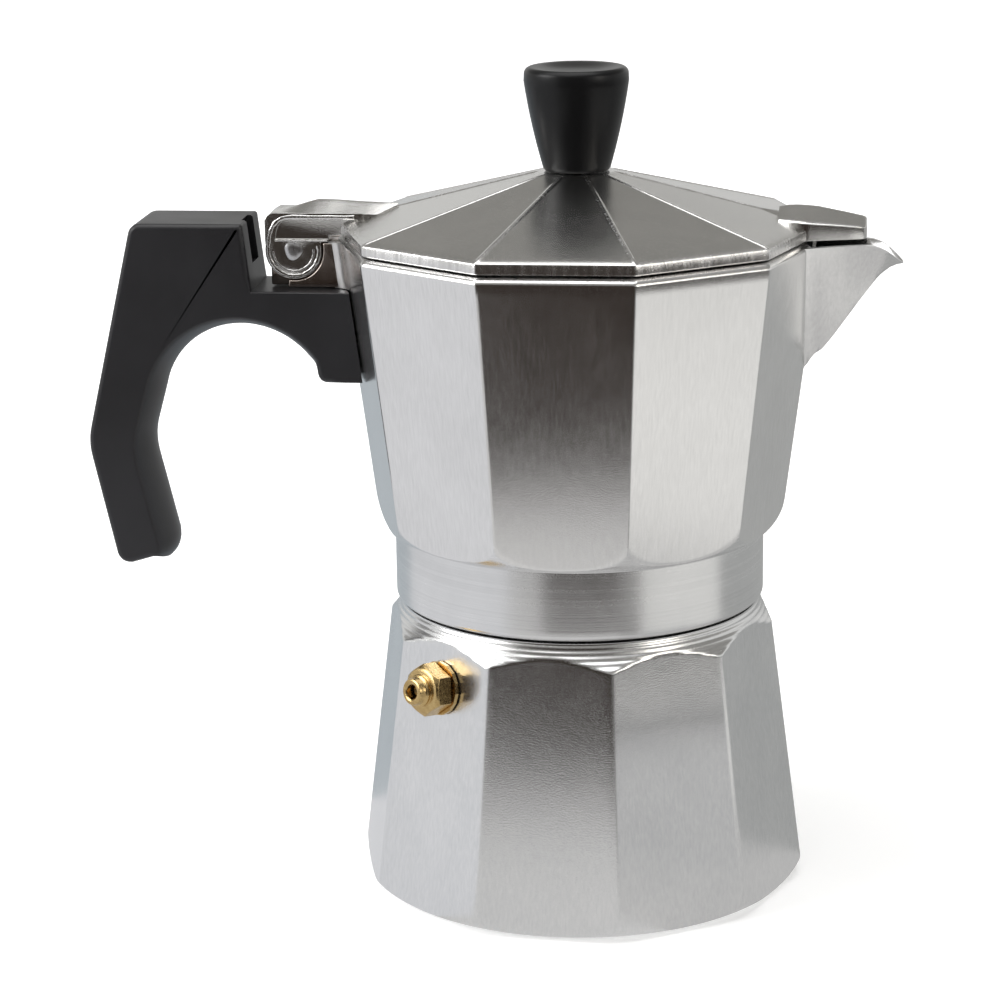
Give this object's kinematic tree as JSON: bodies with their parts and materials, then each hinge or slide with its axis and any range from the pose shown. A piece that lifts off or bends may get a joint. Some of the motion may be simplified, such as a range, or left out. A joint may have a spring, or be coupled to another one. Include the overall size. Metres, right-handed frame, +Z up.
{
  "type": "moka pot",
  "caption": "Stovetop coffee maker with a faceted boiler, screw-on pouring chamber, funnel, safety valve, side handle and hinged lid.",
  "frame": {"origin": "centre of the flat base, on the surface that the pot stands on", "axes": "+Z up along the pot's axis, +X towards the spout, so the handle is along -X; +Y across"},
  "size_m": [0.164, 0.0922, 0.1665],
  "materials": {
    "boiler_aluminium": "brushed cast aluminium with turned shoulder",
    "collector_aluminium": "polished cast aluminium, brushed upright",
    "lid_aluminium": "satin die cast aluminium",
    "sheet_aluminium": "satin pressed sheet",
    "brass": "machined",
    "steel": "plain steel",
    "black_plastic": "fine grained matte",
    "knob_plastic": "satin moulded",
    "gasket_rubber": "soft white rubber"
  },
  "bodies": {
    "boiler": {"boiler": "boiler_aluminium", "valve_body": "brass", "valve_washer": "brass", "valve_seat": "brass", "valve_spring": "steel"},
    "valve_poppet": {"valve_poppet": "steel"},
    "funnel": {"funnel": "sheet_aluminium", "funnel_filter": "sheet_aluminium"},
    "gasket": {"gasket": "gasket_rubber"},
    "filter_plate": {"filter_plate": "sheet_aluminium"},
    "collector": {"collector": "collector_aluminium", "coffee_column": "collector_aluminium", "hinge_pin": "steel", "handle": "black_plastic", "handle_washer": "steel", "handle_screw": "steel"},
    "lid": {"lid": "lid_aluminium", "knob": "knob_plastic", "knob_insert": "brass", "knob_washer": "steel", "knob_screw": "steel"}
  },
  "joints": [
    {"name": "valve_lift", "type": "slide", "parent": "boiler", "child": "valve_poppet", "axis": [-0.6399, -0.7573, 0.1305], "range_m": [0, 0.0012], "stiffness_N_per_m": 300, "springref_m": -0.002},
    {"name": "funnel_lift", "type": "slide", "parent": "boiler", "child": "funnel", "axis": [0, 0, 1], "range_m": [0, 0.066]},
    {"name": "collector_lift", "type": "slide", "parent": "funnel", "child": "gasket", "axis": [0, 0, 1], "range_m": [0, 0.04]},
    {"name": "collector_rise", "type": "slide", "parent": "gasket", "child": "filter_plate", "axis": [0, 0, 1], "range_m": [0, 0.0071]},
    {"name": "collector_turn", "type": "hinge", "parent": "filter_plate", "child": "collector", "pos_m": [0, 0, 0.066], "axis": [0, 0, 1], "range_deg": [0, 720]},
    {"name": "lid_hinge", "type": "hinge", "parent": "collector", "child": "lid", "pos_m": [-0.0566, 0, 0.1302], "axis": [0, -1, 0], "range_deg": [0, 95]}
  ],
  "couplings": [
    {"joint": "collector_rise", "follows": "collector_turn", "m_per_rad": 0.00055704}
  ]
}
